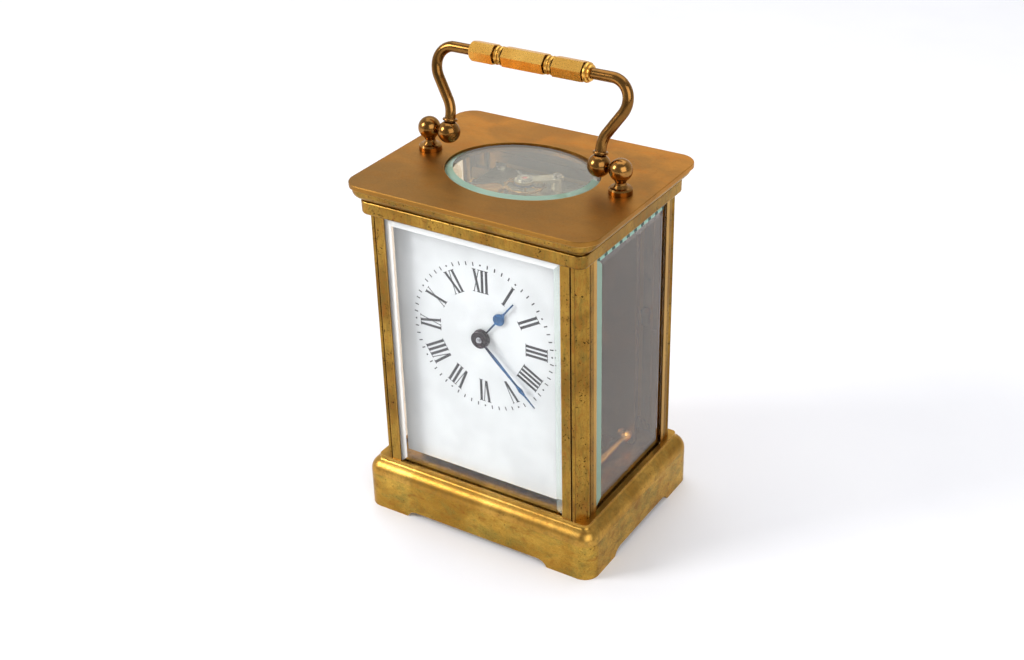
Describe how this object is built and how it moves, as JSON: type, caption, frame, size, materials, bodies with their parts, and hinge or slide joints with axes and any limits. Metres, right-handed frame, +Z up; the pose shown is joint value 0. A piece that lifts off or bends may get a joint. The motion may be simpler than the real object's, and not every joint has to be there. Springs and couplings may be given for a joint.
{
  "type": "carriage clock",
  "caption": "Glazed brass carriage clock with a folding handle, a hinged rear door, an enamel dial with Roman numerals and a spring-driven lever movement.",
  "frame": {"origin": "on the table, under the middle of the base", "axes": "+Z up, the dial and front glass face -Y, +X is the viewer's right when facing the dial, and the door is at the back"},
  "size_m": [0.08, 0.064, 0.1427],
  "materials": {
    "brass_base": "polished, slightly worn",
    "brass_case": "aged, speckled",
    "brass_top": "satin, warm patina",
    "glass": "polished, wide bevels",
    "brass_handle": "polished, darkened",
    "brass_grip": "polished",
    "enamel": "gloss white",
    "blued_steel": "blued, polished",
    "brass_plate": "brushed, dulled",
    "brass_wheel": "satin",
    "steel": "satin",
    "silvered": "satin silvering",
    "ruby": "polished"
  },
  "bodies": {
    "case": {"base": "brass_base", "post_front_left": "brass_case", "post_front_right": "brass_case", "post_rear_left": "brass_case", "post_rear_right": "brass_case", "cornice": "brass_case", "top_plate": "brass_top", "front_glass": "glass", "left_glass": "glass", "right_glass": "glass", "top_glass": "glass", "case_screws": "steel", "movement_screws": "steel", "handle_post_left": "brass_handle", "handle_post_right": "brass_handle", "handle_nuts": "brass_handle", "handle_pivots": "brass_handle", "dial": "enamel", "front_plate": "brass_plate", "back_plate": "brass_plate", "pillars": "brass_plate", "plate_screws": "steel", "click_spring": "steel", "platform": "silvered", "platform_screws": "steel", "escape_cock": "brass_wheel", "balance_cock": "silvered", "jewels": "ruby", "hairspring": "blued_steel"},
    "handle": {"handle_arm_left": "brass_handle", "handle_arm_right": "brass_handle", "handle_grip": "brass_grip"},
    "door": {"door_frame": "brass_case", "door_panel": "brass_plate", "door_pins": "brass_case"},
    "latch": {"door_knob": "brass_handle", "door_latch": "brass_handle"},
    "minute": {"minute_hand": "blued_steel", "cannon_pinion": "steel", "centre_arbor": "steel"},
    "motion": {"minute_wheel": "brass_wheel", "minute_pinion": "steel"},
    "hour": {"hour_hand": "blued_steel", "hour_wheel": "brass_wheel"},
    "winding": {"barrel_arbor": "steel", "ratchet_wheel": "steel"},
    "click": {"click": "steel"},
    "barrel": {"barrel": "brass_wheel", "barrel_cover": "brass_wheel", "mainspring": "steel"},
    "intermediate": {"first_wheel": "brass_wheel", "first_arbor": "steel"},
    "centre": {"centre_wheel": "brass_wheel", "centre_pipe": "steel"},
    "third": {"third_wheel": "brass_wheel"},
    "contrate": {"contrate_wheel": "brass_wheel"},
    "escape": {"escape_wheel": "brass_wheel"},
    "lever": {"pallet_lever": "steel"},
    "balance": {"balance_wheel": "brass_wheel"},
    "regulator": {"regulator_index": "steel"}
  },
  "joints": [
    {"name": "handle_swing", "type": "hinge", "parent": "case", "child": "handle", "pos_m": [0, 0, 0.1163], "axis": [1, 0, 0], "range_deg": [-83.7, 112.3]},
    {"name": "door_swing", "type": "hinge", "parent": "case", "child": "door", "pos_m": [-0.0265, 0.02605, 0.06], "axis": [0, 0, 1], "range_deg": [0, 95]},
    {"name": "latch_turn", "type": "hinge", "parent": "door", "child": "latch", "pos_m": [0.0262, 0.026, 0.06], "axis": [0, -1, 0], "range_deg": [0, 90]},
    {"name": "minute_turn", "type": "hinge", "parent": "case", "child": "minute", "pos_m": [0, -0.024, 0.0669], "axis": [0, 1, 0], "continuous": true},
    {"name": "motion_wheel_turn", "type": "hinge", "parent": "case", "child": "motion", "pos_m": [0.00594, -0.019, 0.06274], "axis": [0, 1, 0], "continuous": true},
    {"name": "hour_turn", "type": "hinge", "parent": "case", "child": "hour", "pos_m": [0, -0.022, 0.0669], "axis": [0, 1, 0], "continuous": true},
    {"name": "winding_turn", "type": "hinge", "parent": "case", "child": "winding", "pos_m": [0, 0.018, 0.0386], "axis": [0, 1, 0], "range_deg": [0, 1620]},
    {"name": "click_lift", "type": "hinge", "parent": "case", "child": "click", "pos_m": [0.0096, 0.018, 0.0474], "axis": [0, 1, 0], "range_deg": [0, 12], "stiffness_Nm_per_rad": 0.00002, "springref_deg": -57.3},
    {"name": "contrate_turn", "type": "hinge", "parent": "case", "child": "contrate", "pos_m": [-0.0095, 0, 0.087], "axis": [0, 1, 0], "continuous": true},
    {"name": "escape_turn", "type": "hinge", "parent": "case", "child": "escape", "pos_m": [-0.0095, -0.001, 0.099], "axis": [0, 0, 1], "continuous": true},
    {"name": "third_turn", "type": "hinge", "parent": "case", "child": "third", "pos_m": [-0.00203, 0, 0.07902], "axis": [0, 1, 0], "continuous": true},
    {"name": "centre_turn", "type": "hinge", "parent": "case", "child": "centre", "pos_m": [0, 0, 0.0669], "axis": [0, 1, 0], "continuous": true},
    {"name": "intermediate_turn", "type": "hinge", "parent": "case", "child": "intermediate", "pos_m": [-0.00369, 0, 0.05553], "axis": [0, 1, 0], "continuous": true},
    {"name": "barrel_turn", "type": "hinge", "parent": "case", "child": "barrel", "pos_m": [0, 0, 0.0386], "axis": [0, 1, 0], "continuous": true},
    {"name": "lever_rock", "type": "hinge", "parent": "case", "child": "lever", "pos_m": [-0.00631, 0.00129, 0.1], "axis": [0, 0, 1], "range_deg": [-5, 5]},
    {"name": "balance_swing", "type": "hinge", "parent": "case", "child": "balance", "pos_m": [-0.002, 0.0044, 0.101], "axis": [0, 0, 1], "range_deg": [-220, 220], "stiffness_Nm_per_rad": 0.0000008},
    {"name": "regulator_turn", "type": "hinge", "parent": "case", "child": "regulator", "pos_m": [-0.002, 0.0044, 0.1031], "axis": [0, 0, 1], "range_deg": [-20, 20]}
  ],
  "couplings": [
    {"joint": "motion_wheel_turn", "follows": "minute_turn", "ratio": -0.33333},
    {"joint": "hour_turn", "follows": "minute_turn", "ratio": 0.083333},
    {"joint": "escape_turn", "follows": "contrate_turn", "ratio": -10},
    {"joint": "third_turn", "follows": "contrate_turn", "ratio": -0.13333},
    {"joint": "centre_turn", "follows": "contrate_turn", "ratio": 0.016667},
    {"joint": "intermediate_turn", "follows": "contrate_turn", "ratio": -0.0027778},
    {"joint": "barrel_turn", "follows": "contrate_turn", "ratio": 0.00039683}
  ]
}
